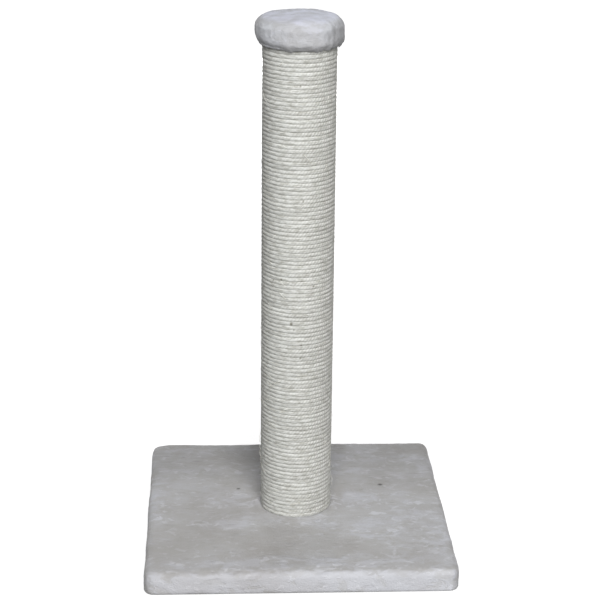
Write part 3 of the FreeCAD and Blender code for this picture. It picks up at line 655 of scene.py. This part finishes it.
def rope_piece(name, first_turn, last_turn, sizes):
    """One length of three-strand rope as a closed mesh, from one turn to another."""
    around, per_turn = 12, 280
    steps = int(round((last_turn - first_turn) * per_turn)) + 1
    angle = np.linspace(first_turn, last_turn, steps) * 2 * pi
    line, left = rope_line(angle, sizes)
    along = np.gradient(line, axis=0)
    along /= np.linalg.norm(along, axis=1, keepdims=True)
    out = np.stack([np.cos(angle), -np.sin(angle), 0 * angle], axis=1)
    up = np.cross(along, out)
    up /= np.linalg.norm(up, axis=1, keepdims=True)
    out = np.cross(up, along)
    length = angle * (TUBE_RADIUS + sizes.rope_width / 2)
    twist = length / sizes.rope_lay * 2 * pi
    phase = np.arange(around) * 2 * pi / around
    # A strand's outside is round and the groove beside it is narrow.
    lobe = np.abs(np.cos(1.5 * phase))
    half = sizes.rope_width / 2
    turned = phase[None, :] - twist[:, None]
    rows = np.stack([length / 0.011, 0 * length, 0 * length], axis=1)
    swell = 1 + 0.045 * noise_at(rows, 1.0, 8)
    # The strands stand out most on the post's right, where the winding pulled the lay open.
    open_lay = smooth_step(-0.35, 0.75, np.cos(angle) + 0.7 * noise_at(rows * 0.2, 1.0, 9, 2))
    relief = 0.05 + 0.10 * open_lay
    reach = half * swell[:, None] * (1 - relief[:, None] * (1 - lobe[None, :] ** 0.8))
    # The rope is pressed a little flat against the tube, and into the turns beside it.
    across = reach * np.cos(turned) * 0.98
    upward = reach * np.sin(turned) * 1.26 * left[:, None]
    places = line[:, None, :] + out[:, None, :] * across[..., None]
    places = (places + up[:, None, :] * upward[..., None]).reshape(-1, 3)
    ring = np.arange(around)
    start = (np.arange(steps - 1) * around)[:, None]
    near, far = start + ring, start + (ring + 1) % around
    quads = np.stack([near, near + around, far + around, far], axis=-1).reshape(-1, 4)
    caps = [list(range(around)), list(range((steps - 1) * around, steps * around))[::-1]]
    mesh = bpy.data.meshes.new(name)
    mesh.from_pydata(places.tolist(), [], quads.tolist() + caps)
    piece = bpy.data.objects.new(name, mesh)
    bpy.context.scene.collection.objects.link(piece)
    face_outwards(piece)
    unrolled = np.stack([np.repeat(length, around), across.ravel(), upward.ravel()], axis=1)
    store(piece, "laid", unrolled, "FLOAT_VECTOR", "vector")
    # The grooves are painted darker as painted shade, most on the post's right.
    depth = (0.2 + 0.8 * open_lay)[:, None] * (1 - lobe[None, :]) ** 1.3
    store(piece, "painted_groove_shade", depth.ravel())
    store(piece, "husk", husk_at(places))
    shade_smooth(piece, 60)
    return piece


def face_outwards(piece):
    """Recalculates the normals of a closed mesh."""
    work = bmesh.new()
    work.from_mesh(piece.data)
    bmesh.ops.recalc_face_normals(work, faces=work.faces)
    work.to_mesh(piece.data)
    work.free()


class POST_OT_rope(bpy.types.Operator):
    """Winds the sisal rope from the base up to the cap"""

    bl_idname = "scratching_post.rope"
    bl_label = "Sisal rope"

    def execute(self, context):
        sizes = context.scene.post_sizes
        colours = context.scene.post_colours
        material = sisal_material((colours.sisal, colours.sisal_groove_shade))
        upper = np.linspace(LOWER_TURNS, sizes.rope_turns + ROPE_TAIL, UPPER_PIECES + 1)
        turns = [-ROPE_TAIL, *upper]
        for place, (first, last) in enumerate(zip(turns, turns[1:])):
            piece = rope_piece(f"sisal_rope_turns_{place + 1}", first, last, sizes)
            stands_for = "sisal_rope_upper_turns" if place else "sisal_rope_lower_turns"
            dress(piece, material, "sisal", stands_for)
        return {"FINISHED"}


# Longer tails that hang off both sides just above the base, and one under the cap: degrees round
# the post, then height, length and lift in metres.
TAILS = (
    (182, 0.100, 0.009, 0.0026),
    (178, 0.088, 0.008, 0.0024),
    (175, 0.112, 0.008, 0.0022),
    (181, 0.074, 0.008, 0.0026),
    (152, 0.086, 0.014, 0.0020),
    (165, 0.096, 0.010, 0.0018),
    (2, 0.083, 0.012, 0.0036),
    (6, 0.076, 0.010, 0.0030),
    (358, 0.064, 0.008, 0.0024),
    (116, 0.652, 0.014, 0.0012),
)


class POST_OT_fibres(bpy.types.Operator):
    """Adds the loose sisal fibres that stand off the rope"""

    bl_idname = "scratching_post.fibres"
    bl_label = "Loose fibres"

    def execute(self, context):
        reach = TUBE_RADIUS + context.scene.post_sizes.rope_width
        curve = bpy.data.curves.new("sisal_loose_fibres", "CURVE")
        curve.dimensions = "3D"
        curve.bevel_depth = 0.00024
        curve.bevel_resolution = 0
        curve.resolution_u = 3
        curve.use_fill_caps = True
        dice = np.random.default_rng(24)
        hairs = []
        for _ in range(LOOSE_FIBRES):
            angle = dice.uniform(0, 2 * pi)
            height = ROPE_BOTTOM + 0.004 + dice.uniform() ** 1.3 * (ROPE_TOP - ROPE_BOTTOM - 0.012)
            hairs.append((angle, height, dice.uniform(0.006, 0.017), dice.uniform(0.0006, 0.0026)))
        hairs += [(radians(degrees), *tail) for degrees, *tail in TAILS]
        for angle, height, length, lift in hairs:
            lean = dice.uniform(-0.9, 0.9)
            spline = curve.splines.new("NURBS")
            spline.points.add(3)
            for step, point in enumerate(spline.points):
                part = step / 3
                turn = angle + cos(lean) * length * part / reach
                rise = sin(lean) * length * part
                off = reach - 0.0009 + lift * sin(part * pi * 0.62) * 1.2
                point.co = (off * cos(turn), -off * sin(turn), height + rise, 1)
            spline.order_u = 3
            spline.use_endpoint_u = True
        fibres = bpy.data.objects.new("sisal_loose_fibres", curve)
        context.scene.collection.objects.link(fibres)
        make_active(fibres)
        bpy.ops.object.convert(target="MESH")
        fibres = context.object
        dress(fibres, self.fibre_material(), "sisal")
        return {"FINISHED"}

    def fibre_material(self):
        """Single bleached sisal fibres: pale straw with a slight gloss, some of it darker."""
        material, tree, shader = new_material("single_sisal_fibre")
        shades = noise_over(tree, object_coordinates(tree), Scale=160, Detail=1)
        straw = (0.36, "#C4C1B2"), (0.52, "#F4F3EC")
        colour = add_node(tree, "ShaderNodeValToRGB", {"Fac": shades}, stops=straw).outputs[0]
        finish_shader(tree, shader, colour, Roughness=0.55, Specular_IOR_Level=0.4)
        return material


# ---------------- plush covers


# Places where the base's pile was brushed up (or down, below 0): x, y, half-length along x,
# half-width along y, and how much, in metres and parts.
BRUSHED = (
    (0.000, -0.178, 0.190, 0.014, 0.55),
    (0.105, -0.075, 0.040, 0.045, 0.55),
    (0.080, 0.010, 0.035, 0.022, 0.50),
    (0.155, -0.030, 0.035, 0.040, 0.35),
    (0.184, 0.125, 0.020, 0.035, 0.60),
    (0.090, 0.100, 0.030, 0.014, 0.45),
    (0.185, -0.100, 0.015, 0.060, 0.40),
    (-0.080, 0.012, 0.050, 0.020, 0.50),
    (-0.105, -0.062, 0.040, 0.012, 0.45),
    (-0.150, 0.165, 0.045, 0.020, 0.50),
    (-0.190, 0.040, 0.012, 0.110, 0.35),
    (-0.030, -0.110, 0.085, 0.036, -0.60),
    (0.055, -0.130, 0.045, 0.030, -0.50),
    (-0.150, -0.110, 0.040, 0.030, -0.30),
    (-0.060, -0.152, 0.060, 0.008, -0.50),
)


# Flecks of fluff on the base's top: x, y and radius, in metres.
FLECKS = ((-0.077, 0.045, 0.0034), (0.120, 0.053, 0.0042), (0.165, -0.128, 0.0018))


def nap_layout(places):
    """How far the base's pile stands up at each place, from 0 to 1, in brushed patches."""
    still = np.zeros(len(places))
    wander = np.stack([noise_at(places, 0.05, 2), noise_at(places, 0.05, 4), still], axis=1)
    moved = places + wander * (0.018, 0.012, 0)
    nap_and_painted_light = 0.34 + 0.45 * noise_at(moved, (0.085, 0.036, 0.05), 11, 3)
    for middle_x, middle_y, length, width, much in BRUSHED:
        far = ((moved[:, 0] - middle_x) / length) ** 2 + ((moved[:, 1] - middle_y) / width) ** 2
        nap_and_painted_light = nap_and_painted_light + much * smooth_step(1.5, 0.5, far)
    return np.clip(nap_and_painted_light, 0, 1)


class POST_OT_base_cover(bpy.types.Operator):
    """Pulls the plush over the base board, with its hem under the board's edge"""

    bl_idname = "scratching_post.base_cover"
    bl_label = "Base cover"

    def execute(self, context):
        sizes = context.scene.post_sizes
        colours = context.scene.post_colours
        # The pile stands a little proud of the cut cloth, most at the back.
        front, back = Vector((0.0010, 0.0012, 0)), Vector((0.0012, 0.0026, 0.0003))
        cover = box_piece("plush_base_cover", base_low - front, base_high + back)
        bevel_edges(cover, upright, 0.0145, 8)
        bevel_edges(cover, level(base_high.z + back.z), sizes.base_rounding, 6)
        bevel_edges(cover, level(base_low.z), 0.003, 3)
        add_modifier(cover, "REMESH", mode="VOXEL", voxel_size=sizes.pile_grain)
        self.brush(cover)
        room = Vector((CLEARANCE,) * 3)
        hollow = box_piece("cutter", board_low - room, board_high + room)
        bevel_edges(hollow, upright, BOARD_CORNER, 6)
        cut(cover, hollow)
        hem = liner_high.x + CLEARANCE
        opening = box_piece(
            "cutter", (-hem, -hem, base_low.z - PAST), (hem, hem, board_low.z + INTO)
        )
        bevel_edges(opening, upright, BOARD_CORNER, 6)
        cut(cover, opening)
        seat = TUBE_RADIUS + CLEARANCE
        cut(cover, drum_piece("cutter", seat, tube_low.z, base_high.z + 2 * PAST))
        cut(cover, drum_piece("cutter", BOLT_HOLE, board_low.z, tube_low.z + INTO, 32))
        self.mark(cover)
        shade_smooth(cover, 50)
        material = plush_material(
            "brushed_plush_grey", (colours.plush, colours.plush_raised), BASE_PALE_AND_SHEEN, 1.0
        )
        dress(cover, material, "plush", "base_cover")
        return {"FINISHED"}

    def brush(self, cover):
        """Lifts and lays the pile in lumps and ridges, with a soft ring at the post's foot."""
        places, normals = rows_of(cover), rows_of(cover, "normal")
        x, y, z = places.T
        under = smooth_step(base_low.z + 0.0005, base_low.z + 0.004, z)
        lumps = 0.0011 * noise_at(places, (0.09, 0.07, 0.05), 21, 2)
        ridges = 0.0007 * (nap_layout(places) - 0.4)
        tufts = 0.00035 * noise_at(places, (0.009, 0.0045, 0.006), 25, 2)
        foot = np.sqrt(x**2 + y**2)
        rope_edge = TUBE_RADIUS + ROPE_WIDTH
        ring = 0.0016 * np.exp(-(((foot - rope_edge - 0.004) / 0.006) ** 2))
        under_rope = smooth_step(rope_edge + 0.003, rope_edge - 0.001, foot)
        shift = lumps + ridges + tufts + ring
        top = smooth_step(base_high.z - 0.004, base_high.z - 0.001, z)
        shift = np.where(foot < rope_edge + 0.003, shift * (1 - under_rope * top), shift)
        # Towards the back, the cloth is pulled tighter over the left side.
        tight = smooth_step(0.6, 1.0, -normals[:, 0]) * smooth_step(-0.25, 0.0, y)
        shift = np.clip(shift - 0.0018 * tight, -0.0030, 0.0025)
        # The cloth is drawn in over the board's back left corner.
        corner = np.hypot(x - base_low.x - 0.003, y - base_high.y + 0.003)
        shift = (shift - 0.0016 * smooth_step(0.024, 0.006, corner)) * under
        places = places + normals * shift[:, None]
        # The staples press their row of the hem in, clear of the feet.
        outer, inner = np.maximum(abs(x), abs(y)), np.minimum(abs(x), abs(y))
        row = smooth_step(0.0045, 0.0025, np.abs(outer - (base_high.x - 0.022)))
        row = row * smooth_step(0.157, 0.150, inner)
        places[:, 2] += 0.0009 * row * smooth_step(base_low.z + 0.001, base_low.z + 0.0004, z)
        # The pile at the lower edge hangs a little over the hem.
        edge = smooth_step(base_high.x - 0.012, base_high.x - 0.006, outer)
        places[:, 2] -= 0.0011 * edge * smooth_step(base_low.z + 0.008, base_low.z, z)
        move_points(cover, places)

    def mark(self, cover):
        """Stores where the pile stands up, its palest places, the flecks in it, and its painted
        sheen and painted shade.
        """
        places, normals = rows_of(cover), rows_of(cover, "normal")
        patches = 0.5 + 0.5 * noise_at(places, (0.030, 0.02, 0.012), 33, 3)
        # The front face's pile catches the light, painted here as paler cloth, a painted sheen,
        # and the turn above it is painted darker, a painted shade.
        facing = -normals[:, 1] + 0.5 * (patches - 0.5)
        front = smooth_step(0.45, 0.95, facing)
        turn = smooth_step(0.1, 0.4, facing) * (1 - front)
        nap_and_painted_light = 0.7 * nap_layout(places) * (1 - 0.6 * turn) * (1 - front)
        nap_and_painted_light = nap_and_painted_light + front * (1.0 + 0.3 * patches)
        store(cover, "nap_and_painted_light", np.clip(nap_and_painted_light, 0, 1.6))
        dabs = smooth_step(0.15, 0.5, noise_at(places, (0.014, 0.007, 0.007), 37, 2))
        tufts_and_painted_sheen = front * np.clip(0.8 * patches - 0.1, 0.15, 0.42)
        store(cover, "tufts_and_painted_sheen", np.maximum(tufts_and_painted_sheen, 0.75 * dabs * turn))
        flecks_and_back_shade = np.zeros(len(places))
        for x, y, size in FLECKS:
            far = np.hypot(places[:, 0] - x, places[:, 1] - y)
            flecks_and_back_shade = np.maximum(flecks_and_back_shade, smooth_step(size, size * 0.3, far))
        # Towards the back the cloth is painted a little darker, a painted shade.
        flecks_and_back_shade = np.maximum(flecks_and_back_shade, 0.25 * smooth_step(0.02, 0.17, places[:, 1] + 0.02 * patches))
        flecks_and_back_shade = flecks_and_back_shade * smooth_step(0.5, 0.9, normals[:, 2])
        # The turn over the front edge is given painted shade as well.
        store(cover, "flecks_and_painted_shade", np.maximum(flecks_and_back_shade, 0.16 * turn))


def round_post(places):
    """Each place's angle round the post, and that angle's point on a circle of radius 1."""
    angle = np.arctan2(places[:, 1], places[:, 0])
    return angle, np.stack([np.cos(angle), np.sin(angle), 0 * angle], axis=1)


class POST_OT_cap_cover(bpy.types.Operator):
    """Makes the round cap's padded plush cover"""

    bl_idname = "scratching_post.cap_cover"
    bl_label = "Cap cover"

    def execute(self, context):
        sizes = context.scene.post_sizes
        cap = self.cut_shape()
        self.swell(context, cap, sizes.cap_swell)
        add_modifier(cap, "SUBSURF", levels=1, render_levels=1)
        self.brush(cap)
        filled = foam_high.z + CLEARANCE
        filling = drum_piece("cutter", disc_high.x + CLEARANCE, disc_low.z, filled)
        bevel_edges(filling, level(filled), 0.007, 5)
        cut(cap, filling)
        cut(cap, drum_piece("cutter", GATHER_HOLE, cap_low.z - PAST, disc_low.z + INTO))
        cut(cap, drum_piece("cutter", TUBE_RADIUS + SEAT_ROOM, cap_low.z - PAST, ROPE_TOP))
        if rows_of(cap)[:, 2].min() < cap_low.z - 0.003:
            raise RuntimeError("The rope's seat could not be cut out of the cap's cover")
        self.fray(cap)
        self.mark(cap)
        shade_smooth(cap, 60)
        colours = linear(CAP_PLUSH)[:3], linear(CAP_RAISED)[:3]
        material = plush_material("fluffed_plush_pale", colours, CAP_PALE_AND_SHEEN, 0.25)
        dress(cap, material, "plush", "cap_cover")
        return {"FINISHED"}

    def cut_shape(self):
        """The cover before it is filled: a drum with a rounded top and a drawn-in lower edge."""
        radius, top = cap_high.x - 0.0012, cap_high.z + 0.0002
        cap = drum_piece("plush_cap_cover", radius, cap_low.z, top)
        bevel_edges(cap, level(top), 0.0135, 8)
        bevel_edges(cap, level(cap_low.z), 0.0125, 6)
        add_modifier(cap, "REMESH", mode="VOXEL", voxel_size=0.0032)
        places = rows_of(cap)
        x, y, z = places.T
        foot = np.sqrt(x**2 + y**2)
        # The top is crowned, so it falls by a few millimetres from its middle to its edge.
        crown = smooth_step(cap_high.z - 0.018, cap_high.z - 0.004, z)
        places[:, 2] -= crown * 0.0046 * (foot / radius) ** 2
        move_points(cap, places)
        return cap

    def swell(self, context, cap, most):
        """Fills the cover under slight pressure, held by its hem, and keeps the swell small."""
        start = rows_of(cap)
        held = cap.vertex_groups.new(name="held")
        for point in cap.data.vertices:
            if point.co.z < cap_low.z + 0.004:
                held.add([point.index], 1.0, "REPLACE")
        make_active(cap)
        cloth = cap.modifiers.new("Cloth", "CLOTH")
        cloth.settings.quality = 5
        cloth.settings.mass = 0.3
        cloth.settings.use_pressure = True
        cloth.settings.uniform_pressure_force = 4
        cloth.settings.vertex_group_mass = "held"
        cloth.settings.effector_weights.gravity = 0
        cloth.point_cache.frame_start = 1
        cloth.point_cache.frame_end = SWELL_FRAMES
        for frame_number in range(1, SWELL_FRAMES + 1):
            context.scene.frame_set(frame_number)
        bpy.ops.object.modifier_apply(modifier=cloth.name)
        context.scene.frame_set(1)
        moves = rows_of(cap) - start
        reach = np.linalg.norm(moves, axis=1, keepdims=True)
        move_points(cap, start + moves * np.minimum(1, most / np.maximum(reach, 1e-9)))

    def brush(self, cap):
        """Lumps in the padding and gathers at the lower edge."""
        places, normals = rows_of(cap), rows_of(cap, "normal")
        z = places[:, 2]
        angle, round_place = round_post(places)
        top = smooth_step(cap_high.z - 0.012, cap_high.z - 0.002, z)
        lumps = 0.0012 * noise_at(places, 0.026, 44, 2) * (1 - 0.3 * top)
        tufts = 0.0004 * noise_at(places, 0.006, 43, 2)
        low = smooth_step(cap_low.z + 0.020, cap_low.z + 0.004, z)
        gathers = 0.0016 * noise_at(round_place, 0.17, 45) * low
        shift = lumps + tufts + gathers
        # It is drawn in more at its lower left, and hangs fuller at the front.
        ahead = smooth_step(0.2, 0.9, -np.sin(angle))
        shift = shift + (0.0014 * ahead - 0.0022 * smooth_step(0.2, 0.9, -np.cos(angle))) * low
        places = places + normals * np.clip(shift, -0.0035, 0.0028)[:, None]
        # The lower edge is drawn up a little at the front.
        places[:, 2] += 0.0029 * ahead * smooth_step(cap_low.z + 0.015, cap_low.z + 0.004, z)
        # The disc inside doesn't let the cloth nearer.
        foot = np.hypot(places[:, 0], places[:, 1])
        beside = smooth_step(disc_low.z - 0.0035, disc_low.z - 0.001, places[:, 2])
        beside = beside * smooth_step(disc_high.z + 0.006, disc_high.z, places[:, 2])
        short = np.where(foot > 0.046, np.maximum(disc_high.x + 0.0015 - foot, 0), 0) * beside
        places[:, :2] *= (1 + short / np.maximum(foot, 0.001))[:, None]
        move_points(cap, places)

    def fray(self, cap):
        """Leaves the pile of the lower edge hanging over the rope by uneven amounts."""
        places = rows_of(cap)
        _, round_place = round_post(places)
        lip = smooth_step(cap_low.z + 0.0055, cap_low.z + 0.0015, places[:, 2])
        hang = np.clip(noise_at(round_place, 0.05, 47, 3) - 0.05, 0, 1)
        places[:, 2] -= 0.0028 * lip * hang
        move_points(cap, places)

    def mark(self, cap):
        """Stores where the pile stands up, the crown's painted sheen and the right side's painted
        shade.
        """
        places, normals = rows_of(cap), rows_of(cap, "normal")
        patches = noise_at(places, (0.03, 0.03, 0.02), 51, 3)
        # Its pile is fluffed up most on the crown, which is also painted paler as painted sheen,
        # and the cloth is darker round the lower part.
        crown = smooth_step(0.7, 1.0, normals[:, 2] + 0.15 * patches)
        low = smooth_step(cap_low.z + 0.018, cap_low.z + 0.006, places[:, 2])
        # The right side is painted darker, a painted shade.
        painted_right_shade = smooth_step(0.5, 0.9, normals[:, 0])
        store(cap, "nap_and_painted_light", np.clip(0.65 + 0.5 * patches - 0.5 * low - 0.5 * painted_right_shade, 0, 1))
        store(cap, "flecks_and_painted_shade", 0.36 * painted_right_shade)
        store(cap, "tufts_and_painted_sheen", crown * np.clip(0.65 + 0.7 * noise_at(places, 0.014, 53, 2), 0, 1))


# ---------------- parts that keep their own shape


# What the nodes' names hold, the material's name, its three shades, the size of its grains and
# of their bump in metres, its roughness, and for some how metallic it is and how its grains are
# drawn out. The wire comes after the plugs, because the plugs' staples hold both names.
FINISHES = (
    # Raw particle board: glued chips 1 to 3 mm across, sawn edges.
    ("base_board", "raw_particle_board", "#9C8460 #C3AA80 #DCC8A0", 0.0022, 0.0002, 0.85),
    # Birch plywood with a turned edge: pale, close grain along x.
    ("_plug", "birch_plywood", "#C9AD80 #DCC49A #E8D6B2", 0.003, 0.0001, 0.6, 0.0, (0.1, 1, 1)),
    # Medium-density fibreboard: even brown with a fine felted fleck.
    ("cap_disc", "raw_mdf", "#8F7350 #9F825C #B0946D", 0.0009, 0.00008, 0.8),
    # Needled felt: charcoal fibres in a loose mat, no gloss.
    ("base_liner", "needled_felt_charcoal", "#2B2B2D #3D3D40 #55555A", 0.0012, 0.0006, 0.97),
    # Closed-cell EVA foam sheet, die-cut: near black, fine pores.
    ("foot_pad", "die_cut_eva_foam", "#1B1B1D #242426 #303033", 0.0006, 0.0002, 0.75),
    # Bright zinc plating on pressed steel: cool grey with a faint mottled spangle.
    (
        "base_washer base_bolt cap_stud tee_nut",
        "bright_zinc_plated_steel",
        "#B9BDC2 #C8CBCF #D6D8DA",
        *(0.004, 0.00005, 0.3, 1.0),
    ),
    # Galvanised wire, drawn and bent: duller than the plated fittings.
    ("staples", "galvanised_wire", "#A4A7AA #B6B9BB #C5C7C8", 0.0015, 0.00005, 0.38, 1.0),
    # Open-cell polyurethane foam, slightly yellowed: pores about 0.8 mm.
    ("cap_foam", "open_cell_pu_foam", "#CDC49A #E0D9B6 #EDE8CE", 0.0008, 0.0004, 0.95),
)


class POST_OT_finishes(bpy.types.Operator):
    """Gives the board, tube, plugs, fastenings, liner and feet their finishes"""

    bl_idname = "scratching_post.finishes"
    bl_label = "Inner parts' finishes"

    def execute(self, context):
        self.give(["post_tube"], self.kraft_board())
        for names, material, shades, *surface in FINISHES:
            self.give(names.split(), mottled_material(material, shades.split(), *surface))
        return {"FINISHED"}

    def give(self, names, material):
        """Gives the material to each node whose name holds one of these."""
        for node_name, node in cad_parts.items():
            if any(name in node_name for name in names):
                for place in node.material_slots:
                    place.material = material

    def kraft_board(self):
        """Spiral-wound kraft cardboard: matt brown paper with a butt seam that climbs the tube."""
        material, tree, shader = new_material("spiral_wound_kraft_board")
        places = object_coordinates(tree)
        fibres = noise_over(tree, places, Scale=700, Detail=4)
        # The strips are 100 mm wide, so the seam repeats every 100 mm up the tube.
        axes = add_node(tree, "ShaderNodeSeparateXYZ", {0: places}).outputs
        turn = add_node(
            tree, "ShaderNodeMath", {0: axes[1], 1: axes[0]}, operation="ARCTAN2"
        ).outputs[0]
        climb = layered(tree, 0.0, (turn, 1 / (2 * pi)), (axes[2], 10))
        climb = add_node(tree, "ShaderNodeMath", {0: climb}, operation="FRACT").outputs[0]
        brown = (0.35, "#8F7350"), (0.65, "#AD9068")
        paper = add_node(tree, "ShaderNodeValToRGB", {"Fac": fibres}, stops=brown).outputs[0]
        paper = shaded_by(tree, paper, climb, (0.0, 0.62), (0.012, 1.0))
        bump = add_node(
            tree, "ShaderNodeBump", {"Height": fibres, "Strength": 0.4, "Distance": 0.0001}
        ).outputs[0]
        finish_shader(tree, shader, paper, bump, Roughness=0.85)
        return material


# ---------------- panel and run

OPERATORS = (
    POST_OT_stage,
    POST_OT_rope,
    POST_OT_fibres,
    POST_OT_base_cover,
    POST_OT_cap_cover,
    POST_OT_finishes,
)


class POST_PT_pieces(bpy.types.Panel):
    """Lists the pieces of the scratching post, their sizes and their colours"""

    bl_idname = "POST_PT_pieces"
    bl_label = "Scratching Post"
    bl_space_type = "VIEW_3D"
    bl_region_type = "UI"
    bl_category = "Scratching Post"

    def draw(self, context):
        for group in (context.scene.post_sizes, context.scene.post_colours):
            for name in group.__annotations__:
                self.layout.prop(group, name)
        for operator in OPERATORS:
            self.layout.operator(operator.bl_idname)


CLASSES = (PostSizes, PostColours, *OPERATORS, POST_PT_pieces)


def register():
    for kind in CLASSES:
        bpy.utils.register_class(kind)
    bpy.types.Scene.post_sizes = bpy.props.PointerProperty(type=PostSizes)
    bpy.types.Scene.post_colours = bpy.props.PointerProperty(type=PostColours)


def unregister():
    del bpy.types.Scene.post_colours
    del bpy.types.Scene.post_sizes
    for kind in reversed(CLASSES):
        bpy.utils.unregister_class(kind)


def main():
    register()
    for operator in OPERATORS:
        group, name = operator.bl_idname.split(".")
        if getattr(getattr(bpy.ops, group), name)() != {"FINISHED"}:
            raise RuntimeError(f"{operator.bl_label} could not finish")


if __name__ == "__main__":
    main()
